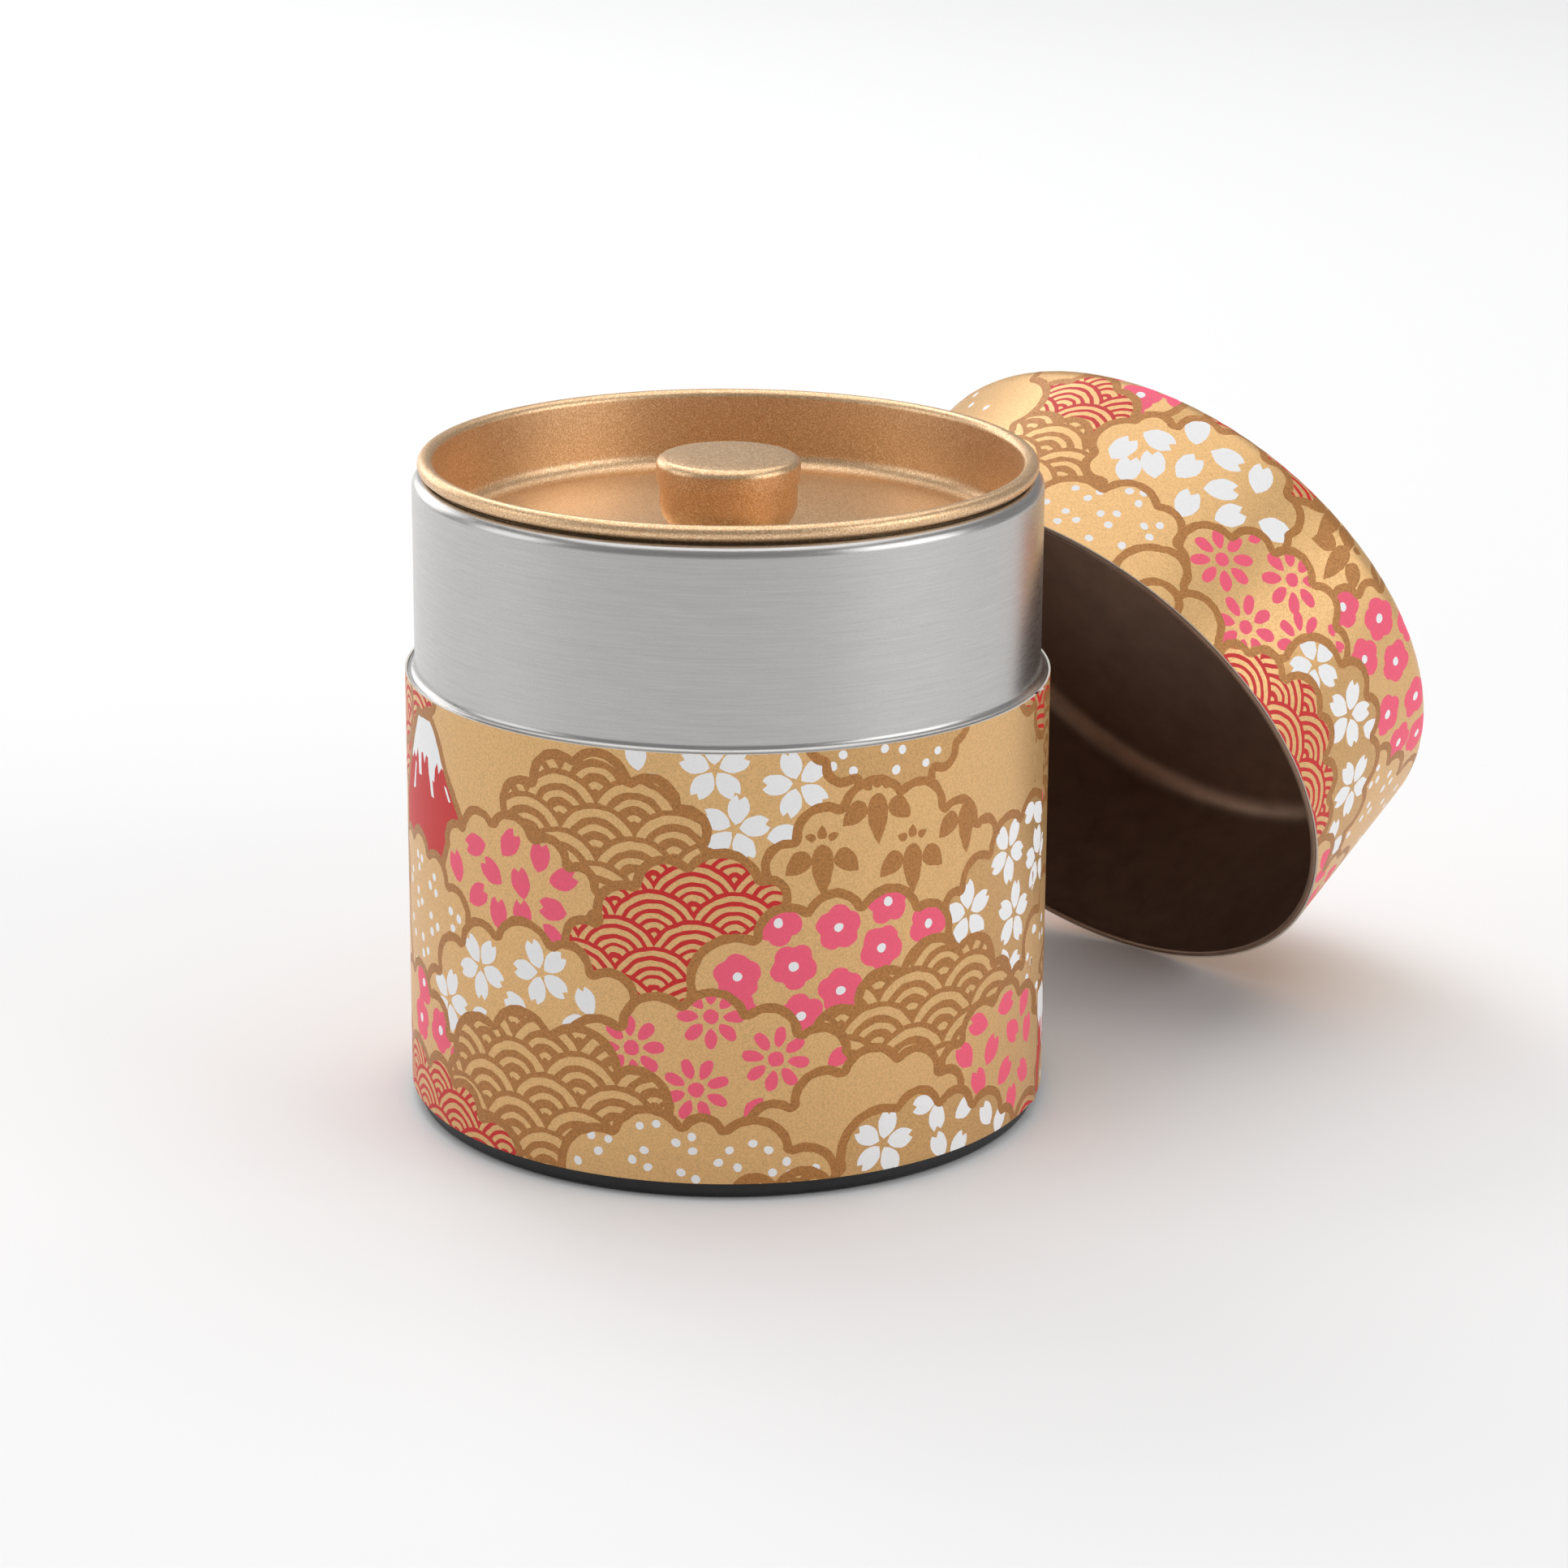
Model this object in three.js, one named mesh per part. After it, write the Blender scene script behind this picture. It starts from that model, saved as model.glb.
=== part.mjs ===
// Round tea caddy, open: a papered tin can with a brushed collar, its knobbed inner lid in place,
// and its outer lid leaning against the collar with its mouth down.
// Millimetres, +Z up. The origin is the centre of the can's underside, on the surface it stands on.
import * as THREE from "three";

// ---- Driving dimensions ----

const SEGMENTS = 48; // flats round the can, the collar and both lids
const KNOB_SEGMENTS = 32; // flats round the knob
const RIVET_SEGMENTS = 16; // flats round the hollow rivet
const ARC_STEPS = 3; // chords in a quarter turn of a bend
const ON_AXIS = 1e-6; // a section corner closer to the axis than this is on it

const TIN = 0.3; // tinplate thickness
const PAPER = 0.25; // washi paper with its paste
const GLUE = 0.05; // room for paste between paper and tin

const paperRadius = 40; // outside of the papered can and lid
const paperBottom = 2.25; // lower edge of the can's paper
const paperTop = 55.75; // upper edge of the can's paper
const tinRadius = paperRadius - PAPER - GLUE; // outside of the tin under the paper

const baseRadius = 39.2; // outside of the base's wall, which plugs into the tube
const baseCorner = 1; // bend between the base's floor and its wall
const basePlug = 9; // height of the base's wall
const baseGroove = { inner: 31, outer: 33, run: 0.5, depth: 0.5 }; // stiffening ring pressed into the base

const collarRadius = 38.8; // outside of the brushed collar
const collarTop = 80.2; // highest point of the collar's rolled edge
const collarRoll = 1.5; // radius of the rolled edge
const collarLip = { run: 0.4, drop: 0.1 }; // how the rolled edge goes on past its highest point
const flangeTop = 55.7; // upper face of the collar's flange
const flangeFillet = 0.85; // hollow bend between the collar and its flange
const plugRadius = 39.2; // outside of the collar's plug, inside the tube
const plugBottom = 44; // lower end of the collar's plug

const dishRadius = 36.2; // inside of the inner lid's wall
const dishFloor = 72.2; // upper face of the inner lid's panel
const dishBend = 2.2; // bend between wall and panel, inside
const dishStep = { radius: 33.4, height: 0.25, run: 0.6 }; // the panel stands a little above its edge
const curlRadius = 0.95; // outside radius of the inner lid's curled rim
const curlHeight = 81.4; // centre of that curl
const curlEnd = -100; // degrees at which the curl's edge ends under the rim

const knobRadius = 8.5; // outside of the knob's cup
const knobTop = 82.2; // crown of the knob's cap
const knobBend = 4; // bend at the foot of the knob's cup
const capRadius = 8.9; // outside of the knob's cap
const capBottom = 79.1; // lower edge of the cap's skirt
const capBend = 1.1; // bend at the cap's shoulder
const capCrown = 0.25; // rise of the cap from its shoulder to its flat middle
const capMiddle = 3; // radius of that flat middle
const rivetHole = 2.2; // hole that the rivet passes through
const rivetRadius = 2.1; // outside of the rivet's tube
const rivetFlange = 3.8; // radius of the rivet's two turned ends

const lidDepth = 30.2; // from the paper's edge at the mouth to the top of the lid's paper disc
const lidBend = 3.8; // rounded shoulder of the papered lid
const lidCurl = 0.4; // outside radius of the bead at the lid's mouth
const lidLip = 0.3; // how far the bead stands out of the paper at the mouth
const paperTurnIn = 33.5; // radius to which the side paper is turned in over the top
const discRadius = 36.4; // paper disc that covers the turned edge

const leanAzimuth = THREE.MathUtils.degToRad(49.4); // the closed end points this way from the mouth
const leanTilt = THREE.MathUtils.degToRad(61.4); // between the lid's axis and the vertical
const leanDistance = 58.6; // from the can's axis to the centre of the lid's mouth
const leanBearing = THREE.MathUtils.degToRad(41.6); // direction of that centre from the can's axis

// ---- Materials ----

function finish(color, roughness, metalness) {
  return new THREE.MeshStandardMaterial({ color, roughness, metalness });
}

const materials = {
  brushedTin: finish(0xb9b8b6, 0.38, 0.95),
  plainTin: finish(0x9a958e, 0.45, 0.9),
  blackLacquer: finish(0x232325, 0.45, 0.2),
  goldLacquer: finish(0xbe8c5a, 0.42, 0.75),
  lidTin: finish(0x6b625a, 0.5, 0.85),
  washi: finish(0xcdaa73, 0.8, 0.1),
};

// ---- Outlines ----

function point(radius, height) {
  return new THREE.Vector2(radius, height);
}

// Points of an arc, from one angle to another in degrees.
function arc(radius, height, bend, from, to) {
  const steps = Math.max(2, Math.round((ARC_STEPS * Math.abs(to - from)) / 90));
  const points = [];
  for (let i = 0; i <= steps; i++) {
    const angle = THREE.MathUtils.degToRad(from + ((to - from) * i) / steps);
    points.push(point(radius + bend * Math.cos(angle), height + bend * Math.sin(angle)));
  }
  return points;
}

function leftOf(from, to) {
  return point(from.y - to.y, to.x - from.x).normalize();
}

// The same path, moved sideways by a distance: to its left where the distance is positive.
function besidePath(path, distance) {
  const last = path.length - 1;
  return path.map((here, i) => {
    const before = leftOf(path[Math.max(i - 1, 0)], path[Math.max(i, 1)]);
    const after = leftOf(path[Math.min(i, last - 1)], path[Math.min(i + 1, last)]);
    const mitre = before.add(after);
    return here.clone().addScaledVector(mitre, (2 * distance) / mitre.lengthSq());
  });
}

// Section of a pressed or rolled sheet: one face is the path, the other lies a thickness beside it.
function sheet(path, thickness) {
  return [...path, ...besidePath(path, thickness).reverse()];
}

// ---- Solids ----

// A named solid turned round the Z axis from its section.
function turned(name, section, material, segments = SEGMENTS) {
  const outline = THREE.ShapeUtils.area(section) > 0 ? [...section] : [...section].reverse();
  const startsOnAxis = outline.findIndex((corner, i) => {
    const previous = outline[(i + outline.length - 1) % outline.length];
    return corner.x < ON_AXIS && previous.x < ON_AXIS;
  });
  const closed =
    startsOnAxis < 0
      ? [...outline, outline[0]]
      : [...outline.slice(startsOnAxis), ...outline.slice(0, startsOnAxis)];
  const geometry = new THREE.LatheGeometry(closed, segments);
  geometry.rotateX(Math.PI / 2);
  const mesh = new THREE.Mesh(geometry, material);
  mesh.name = name;
  return mesh;
}

// A plain ring with a rectangular section.
function band(name, innerRadius, outerRadius, bottom, top, material) {
  const section = [
    point(innerRadius, bottom),
    point(outerRadius, bottom),
    point(outerRadius, top),
    point(innerRadius, top),
  ];
  return turned(name, section, material);
}

// ---- The can ----

function bodyTube() {
  const top = flangeTop - TIN - GLUE;
  return band("body_tube", tinRadius - TIN, tinRadius, paperBottom + GLUE, top, materials.plainTin);
}

function bodyWrap() {
  return band("body_wrap", paperRadius - PAPER, paperRadius, paperBottom, paperTop, materials.washi);
}

// Black pan that closes the can: flat underside with a pressed ring, wall plugged into the tube.
function baseCap() {
  const underside = [
    point(0, 0),
    point(baseGroove.inner - baseGroove.run, 0),
    point(baseGroove.inner, baseGroove.depth),
    point(baseGroove.outer, baseGroove.depth),
    point(baseGroove.outer + baseGroove.run, 0),
  ];
  const corner = arc(baseRadius - baseCorner, baseCorner, baseCorner, -90, 0);
  const path = [...underside, ...corner, point(baseRadius, basePlug)];
  return turned("base_cap", sheet(path, TIN), materials.blackLacquer);
}

// Brushed collar: plug inside the tube, flange on the tube's end, wall, and edge rolled inwards.
function collarSleeve() {
  const rollRadius = collarRadius - collarRoll;
  const rollHeight = collarTop - collarRoll;
  const flangeRadius = collarRadius + flangeFillet;
  const outside = [
    point(plugRadius, plugBottom),
    point(plugRadius, flangeTop - TIN),
    point(flangeRadius, flangeTop - TIN),
    ...arc(flangeRadius, flangeTop + flangeFillet, flangeFillet, -90, -180),
    ...arc(rollRadius, rollHeight, collarRoll, 0, 90),
    point(rollRadius - collarLip.run, collarTop - collarLip.drop),
  ];
  const inside = [
    point(rollRadius - collarLip.run, collarTop - collarLip.drop - TIN),
    ...arc(rollRadius, rollHeight, collarRoll - TIN, 90, 0),
    point(collarRadius - TIN, flangeTop),
    point(plugRadius - TIN, flangeTop - TIN),
    point(plugRadius - TIN, plugBottom),
  ];
  return turned("collar_sleeve", [...outside, ...inside], materials.brushedTin);
}

// ---- The inner lid ----

const panelTop = dishFloor + dishStep.height; // upper face of the panel, where the knob stands

// Dish with a curled rim that hangs on the collar's rolled edge.
function innerLidDish() {
  const path = [
    point(rivetHole, panelTop),
    point(dishStep.radius - dishStep.run, panelTop),
    point(dishStep.radius, dishFloor),
    ...arc(dishRadius - dishBend, dishFloor + dishBend, dishBend, -90, 0),
    ...arc(dishRadius + curlRadius, curlHeight, curlRadius, 180, curlEnd),
  ];
  return turned("inner_lid_dish", sheet(path, -TIN), materials.goldLacquer);
}

// Cup of the knob, standing on the panel with its mouth up, as high as the cap's bend.
function knobCup() {
  const foot = panelTop + GLUE;
  const path = [
    point(rivetHole, foot),
    ...arc(knobRadius - knobBend, foot + knobBend, knobBend, -90, 0),
    point(knobRadius, knobTop - capCrown - capBend),
  ];
  return turned("knob_cup", sheet(path, TIN), materials.goldLacquer, KNOB_SEGMENTS);
}

// Cap pressed over the cup's mouth.
function knobCap() {
  const shoulder = knobTop - capCrown;
  const path = [
    point(0, knobTop),
    point(capMiddle, knobTop),
    ...arc(capRadius - capBend, shoulder - capBend, capBend, 90, 0),
    point(capRadius, capBottom),
  ];
  return turned("knob_cap", sheet(path, -TIN), materials.goldLacquer, KNOB_SEGMENTS);
}

// Hollow rivet that holds the cup to the panel, turned over at both ends.
function knobRivet() {
  const upper = panelTop + 2 * GLUE + TIN;
  const lower = panelTop - TIN - GLUE;
  const path = [
    point(rivetFlange, upper),
    point(rivetRadius, upper),
    point(rivetRadius, lower),
    point(rivetFlange, lower),
  ];
  return turned("knob_rivet", sheet(path, -TIN), materials.plainTin, RIVET_SEGMENTS);
}

// ---- The outer lid, drawn round its own axis with its mouth at height 0 ----

const tinLidTop = lidDepth - 2 * (PAPER + GLUE); // outside of the tin's closed end

// Outside of the lid's tin, from the middle of the closed end to the beaded mouth.
function lidTinPath() {
  const bend = lidBend - PAPER - GLUE;
  return [
    point(0, tinLidTop),
    ...arc(tinRadius - bend, tinLidTop - bend, bend, 90, 0),
    ...arc(tinRadius - lidCurl, lidCurl - lidLip, lidCurl, 0, -230),
  ];
}

function outerLidShell() {
  return turned("outer_lid_shell", sheet(lidTinPath(), -TIN), materials.lidTin);
}

// Side paper of the lid, turned in over the shoulder.
function outerLidWrap() {
  const top = tinLidTop + GLUE + PAPER;
  const path = [
    point(paperTurnIn, top),
    ...arc(paperRadius - lidBend, top - lidBend, lidBend, 90, 0),
    point(paperRadius, 0),
  ];
  return turned("outer_lid_wrap", sheet(path, -PAPER), materials.washi);
}

// Paper disc on the lid's top, over the turned edge.
function outerLidDisc() {
  const section = [
    point(0, lidDepth - PAPER),
    point(discRadius, lidDepth - PAPER),
    point(discRadius, lidDepth),
    point(0, lidDepth),
  ];
  return turned("outer_lid_disc", section, materials.washi);
}

// The lid leans: its paper edge rests on the ground, and its mouth's upper side is by the collar.
function leanOuterLid(lid) {
  lid.rotation.set(0, leanTilt, leanAzimuth, "ZYX");
  lid.position.set(
    leanDistance * Math.cos(leanBearing),
    leanDistance * Math.sin(leanBearing),
    paperRadius * Math.sin(leanTilt),
  );
}

// ---- Assembly ----

const can = new THREE.Group();
can.add(bodyTube(), bodyWrap(), baseCap(), collarSleeve());

const innerLid = new THREE.Group();
innerLid.add(innerLidDish(), knobCup(), knobCap(), knobRivet());

const outerLid = new THREE.Group();
outerLid.add(outerLidShell(), outerLidWrap(), outerLidDisc());
leanOuterLid(outerLid);

const caddy = new THREE.Group();
caddy.add(can, innerLid, outerLid);

export default caddy;
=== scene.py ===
"""Looks of an open tea caddy: a tin can papered with printed washi, its brushed collar, the gold inner
lid with its knob, and the papered outer lid leaning on the collar with its mouth down.

Sheet-metal and paper sizes are in millimetres, as a tinsmith and a printer give them, and MM turns them
into the frame's metres when a mesh is made. The camera, the lights and the floor are in metres.
"""

import math

import bpy
import numpy as np
from mathutils import Matrix, Vector
from mathutils.geometry import delaunay_2d_cdt


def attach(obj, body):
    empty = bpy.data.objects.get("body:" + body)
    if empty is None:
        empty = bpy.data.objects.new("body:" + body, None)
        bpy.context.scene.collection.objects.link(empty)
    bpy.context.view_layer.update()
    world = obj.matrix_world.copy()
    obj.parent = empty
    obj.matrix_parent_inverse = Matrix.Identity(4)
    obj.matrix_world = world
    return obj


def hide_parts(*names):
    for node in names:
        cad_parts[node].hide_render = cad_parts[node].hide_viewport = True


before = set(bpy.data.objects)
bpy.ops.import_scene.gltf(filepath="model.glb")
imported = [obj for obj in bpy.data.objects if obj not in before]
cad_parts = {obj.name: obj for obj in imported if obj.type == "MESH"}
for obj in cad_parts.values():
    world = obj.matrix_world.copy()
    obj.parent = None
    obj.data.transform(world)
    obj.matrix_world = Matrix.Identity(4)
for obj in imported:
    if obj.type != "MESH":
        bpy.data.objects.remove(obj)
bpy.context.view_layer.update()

MM = 0.001

# ---- Sheet metal and paper, in millimetres ----

TIN = 0.3
PAPER = 0.25
GLUE = 0.05
PAPER_R = 40.0
PAPER_Z = (2.25, 55.75)
TIN_R = PAPER_R - PAPER - GLUE

LID_DEPTH = 30.2
LID_BEND = 3.8
LID_BEAD = 0.4
LID_LIP = 0.3
TURNED_IN_R = 33.5
DISC_R = 36.4
TIN_LID_TOP = LID_DEPTH - 2 * (PAPER + GLUE)
PAPER_LID_TOP = TIN_LID_TOP + GLUE + PAPER

LEAN_AZIMUTH = math.radians(49.4)
LEAN_TILT = math.radians(61.4)
LEAN_DISTANCE = 58.6
LEAN_BEARING = math.radians(41.6)

ROUND = 256  # facets round the can and the lids
FINE = 128  # the same round the knob
SHARP = math.radians(35)  # faces that meet at more than this have a crease between them
ON_AXIS = 1e-6  # nearer than this to the axis, a point is on it

# ---- Print: lengths on the flat paper, in millimetres ----

BAND = 1.15  # dark gold line round each cloud
BULGE = 0.3  # height of a cloud's lobe over its chord
STEP = 0.36  # length of a chord in a drawn curve
WAVE_R = 5.8  # outside of a wave scale
WAVE_WIDTH = 9.55  # between scales of a row
WAVE_RISE = 3.55  # between rows
LATTICE = 1.5  # spacing of the plain points of a papered surface
FINE_LATTICE = 0.7  # the same, where the paper bends over the lid's shoulder
EDGE_STEP = 0.8  # spacing of the points along the paper's edge
PROBE = 0.02  # how far to each side of a drawn line the ink is looked up
PROBES = (0.12, 0.5, 0.88)  # where along the line
FIRST_TURN, NEXT_TURN = 20, 37  # degrees by which copies of a motif are turned
AROUND = 2 * math.pi * PAPER_R  # length of paper round the can

GOLD, DEEP, INK, WHITE, PINK, RED, EDGE = range(7)


def lerp(a, b, t):
    return a + (b - a) * t


# ---- Curves on the flat paper ----


def bulged(a, b, bulge=BULGE):
    """Points of an arc from a up to but not b, standing out on the left of the way from a to b."""
    a, b = np.array(a, float), np.array(b, float)
    chord = b - a
    length = np.hypot(*chord)
    rise = bulge * length
    radius = length * length / (8 * rise) + rise / 2
    left = np.array([-chord[1], chord[0]]) / length
    centre = (a + b) / 2 + left * (rise - radius)
    start = math.atan2(*(a - centre)[::-1])
    sweep = -2 * math.asin(min(1.0, length / 2 / radius))
    count = max(3, round(abs(sweep) * radius / STEP))
    angles = start + sweep * np.arange(count) / count
    return centre + radius * np.column_stack([np.cos(angles), np.sin(angles)]), centre, radius, start, sweep


def circle(centre, radius, count):
    angles = 2 * np.pi * np.arange(count) / count
    return np.array(centre) + radius * np.column_stack([np.cos(angles), np.sin(angles)])


def bezier(p0, p1, p2, p3, count):
    t = np.linspace(0, 1, count)[:, None]
    p0, p1, p2, p3 = (np.array(p, float) for p in (p0, p1, p2, p3))
    return (1 - t) ** 3 * p0 + 3 * (1 - t) ** 2 * t * p1 + 3 * (1 - t) * t * t * p2 + t ** 3 * p3


def mirrored(side):
    """A closed outline from its right side, drawn from bottom to top of the line x = 0."""
    return np.vstack([side, side[::-1][1:-1] * (-1, 1)])


def placed(shape, size, angle, at):
    """A shape drawn upwards, scaled, turned so that its top points along angle in degrees, and moved."""
    turn = math.radians(angle - 90)
    c, s = math.cos(turn), math.sin(turn)
    return np.array(shape) * size @ np.array([[c, s], [-s, c]]) + np.array(at)


CHERRY_PETAL = mirrored(
    np.vstack([bezier((0, 0.13), (0.36, 0.34), (0.40, 0.78), (0.12, 1.0), 8), [(0, 0.86)]])
)
LOOSE_PETAL = mirrored(np.vstack([bezier((0, 0), (0.46, 0.24), (0.44, 0.80), (0.15, 1.0), 8), [(0, 0.84)]]))
DAISY_PETAL = mirrored(bezier((0, 0.35), (0.24, 0.45), (0.25, 1.0), (0, 1.0), 8))
LEAF = mirrored(bezier((0, 0), (0.3, 0.02), (0.27, 0.6), (0, 1.0), 10))
SIDE_LEAF = mirrored(bezier((0, 0), (0.5, 0.02), (0.42, 0.62), (0, 1.0), 10))


def plum_outline(radius, angle):
    turn = np.linspace(0, 2 * np.pi, 40, endpoint=False)
    lobes = np.abs(np.cos(2.5 * (turn - math.radians(angle)))) ** 0.7
    r = radius * (0.80 + 0.22 * lobes)
    return np.column_stack([r * np.cos(turn), r * np.sin(turn)])


# ---- Motifs: each is a list of (ink, outline) drawn in order ----


def cherry(at, angle, size=4.2):
    return [(WHITE, placed(CHERRY_PETAL, size, angle + 72 * k, at)) for k in range(5)]


def plum(at, angle, size=2.85):
    return [(PINK, plum_outline(size, angle) + at), (WHITE, circle(at, 0.6, 12))]


def daisy(at, angle, size=4.1):
    petals = [(PINK, placed(DAISY_PETAL, size, angle + 45 * k, at)) for k in range(8)]
    return petals + [(PINK, circle(at, 0.98, 12))]


def loose(ink, at, angle, size=4.0):
    turn = math.radians(angle)
    middle = np.array(at) - 0.5 * size * np.array([math.cos(turn), math.sin(turn)])
    return [(ink, placed(LOOSE_PETAL, size, angle, middle))]


def dot(at, radius=0.56):
    return [(WHITE, circle(at, radius, 10))]


def bamboo(at):
    """Three hanging leaves, and three small ones standing over them."""
    x, z = at
    leaves = [(INK, placed(LEAF, 6.4, -88, at))]
    leaves += [
        (INK, placed(SIDE_LEAF, 3.8, angle, (x + dx, z - 1.0))) for dx, angle in ((-1.6, -138), (1.8, -42))
    ]
    tuft = ((-0.75, 0.75, 160, 1.5), (0, 0.7, 90, 1.7), (0.75, 0.75, 20, 1.5))
    return leaves + [(INK, placed(SIDE_LEAF, size, angle, (x + dx, z + dz))) for dx, dz, angle, size in tuft]


def many(motif, spots):
    """The same motif at many spots, turned a little further each time."""
    return [part for i, at in enumerate(spots) for part in motif(at, FIRST_TURN + NEXT_TURN * i)]


def petals(ink, spots, size=4.0):
    return [part for x, z, angle in spots for part in loose(ink, (x, z), angle, size)]


def dots(*spots):
    return [part for at in spots for part in dot(at)]


# ---- Printed clouds ----
#
# A cloud has the cusps of its scalloped edge, clockwise, and then its ground, its motifs, or the ink of
# its waves with the place of the top of one scale.


def cloud(cusps, ground=GOLD, motifs=(), waves=None, smooth=False):
    return {"cusps": cusps, "ground": ground, "motifs": list(motifs), "waves": waves, "smooth": smooth}


def mount_fuji(peak, waist=1.0):
    """A red hill with snow on its peak, outlined like a cloud."""
    x, z = peak
    edge = [(-10.5, -13), (-7, -7.2), (-4.2, -2.2), (-2.9, -0.4), (2.3, 0), (4.4, -2.2), (6.5, -6.2),
        (9.8, -11), (10.2, -13), (9, -19), (0, -22), (-11, -18)]
    cap = [(-6.6, -7.0), (-4.4, -2.6), (-2.6, -1.1), (2.0, -1.2), (3.6, -2.8), (5.9, -6.8), (4.9, -6.3),
        (4.2, -7.2), (3.8, -5.9), (3.1, -6.9), (2.9, -8.6), (2.3, -8.4), (2.7, -10.7), (1.9, -10.6),
        (1.2, -7.9), (1.0, -5.9), (0.4, -5.8), (-0.3, -7.1), (-0.8, -5.7), (-1.4, -6.0), (-1.5, -8.9),
        (-2.4, -8.9), (-2.7, -5.6), (-3.8, -7.2), (-4.6, -6.6), (-5.2, -7.6)]
    streaks = [[(-4.0, -7.6), (-3.6, -8.0), (-4.3, -11.2), (-5.2, -11.4)], [(5.5, -8.2), (6.1, -8.4),
        (7.1, -10), (6.6, -10.1)]]
    white = [(WHITE, np.array(cap) * (waist, 1) + peak)]
    white += [(WHITE, np.array(streak) * (waist, 1) + peak) for streak in streaks]
    return cloud([(x + dx * waist, z + dz) for dx, dz in edge], RED, white, smooth=True)


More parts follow.
